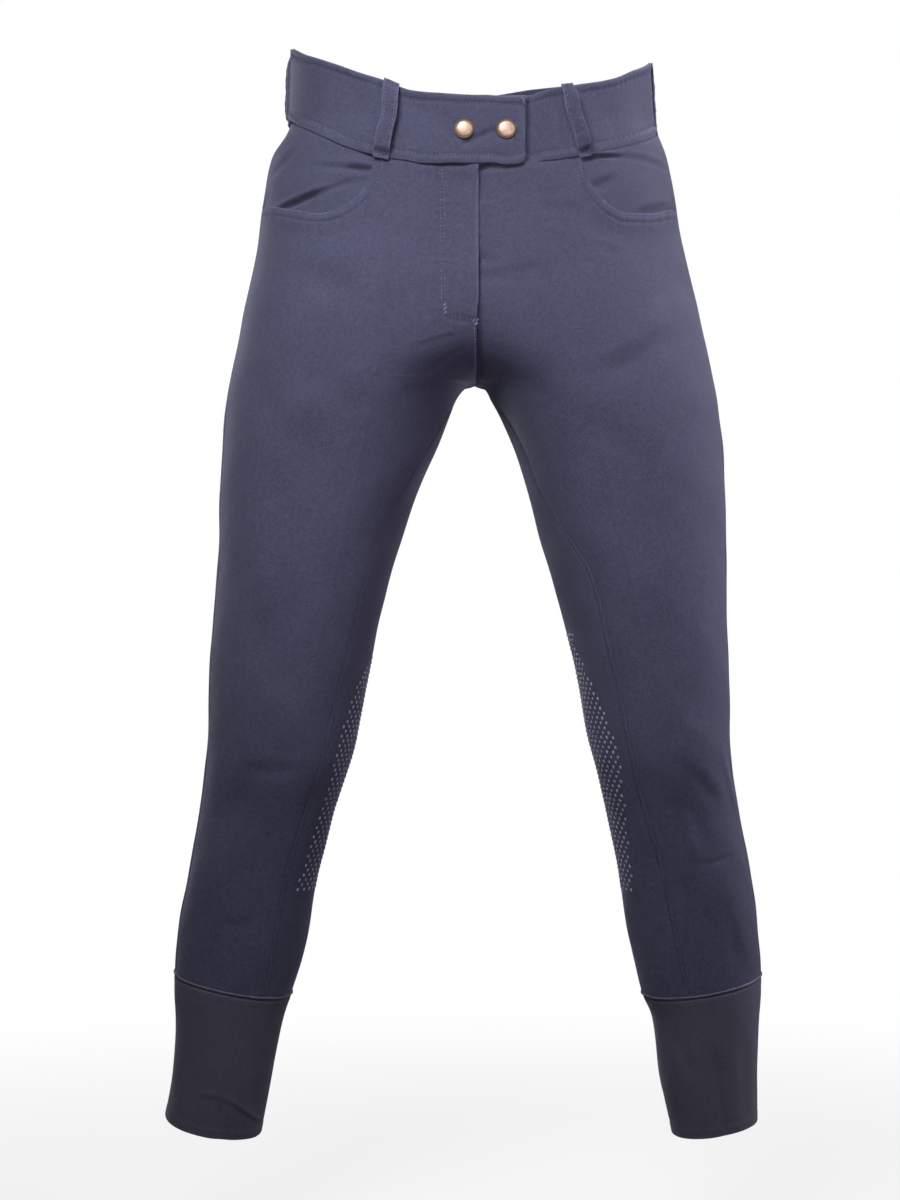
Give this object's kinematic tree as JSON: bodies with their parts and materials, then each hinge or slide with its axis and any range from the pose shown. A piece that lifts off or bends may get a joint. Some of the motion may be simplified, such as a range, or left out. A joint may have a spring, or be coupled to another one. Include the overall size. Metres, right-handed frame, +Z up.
{
  "type": "riding breeches",
  "caption": "Riding breeches held in their hollow worn form: wide waistband with a snapped tab, belt loops, curved front pockets, slim legs wrapped on the inside, stretch cuffs.",
  "frame": {"origin": "middle of the waistband's ring, where the wearer's waist holds the garment", "axes": "+Z up the body, -Y to the wearer's front, +X to the wearer's left"},
  "size_m": [0.5248, 0.2477, 0.957],
  "materials": {
    "stretch_cloth": "fine matte stretch weave, slate navy",
    "cuff_cloth": "smooth matte stretch jersey, dark navy grey",
    "antique_brass": "satin antique brass",
    "sewing_thread": "matt navy sewing thread",
    "grip_print": "raised silicone dots, grey"
  },
  "bodies": {
    "root": {"front_right": "stretch_cloth", "front_left": "stretch_cloth", "back_right": "stretch_cloth", "back_left": "stretch_cloth", "waistband": "stretch_cloth", "pocket_facing_right": "stretch_cloth", "pocket_facing_left": "stretch_cloth", "belt_loop_front_right": "stretch_cloth", "belt_loop_front_left": "stretch_cloth", "belt_loop_side_right": "stretch_cloth", "belt_loop_side_left": "stretch_cloth", "belt_loop_back": "stretch_cloth", "cuff_right": "cuff_cloth", "cuff_left": "cuff_cloth", "snap_cap_right": "antique_brass", "snap_cap_left": "antique_brass"}
  },
  "joints": []
}
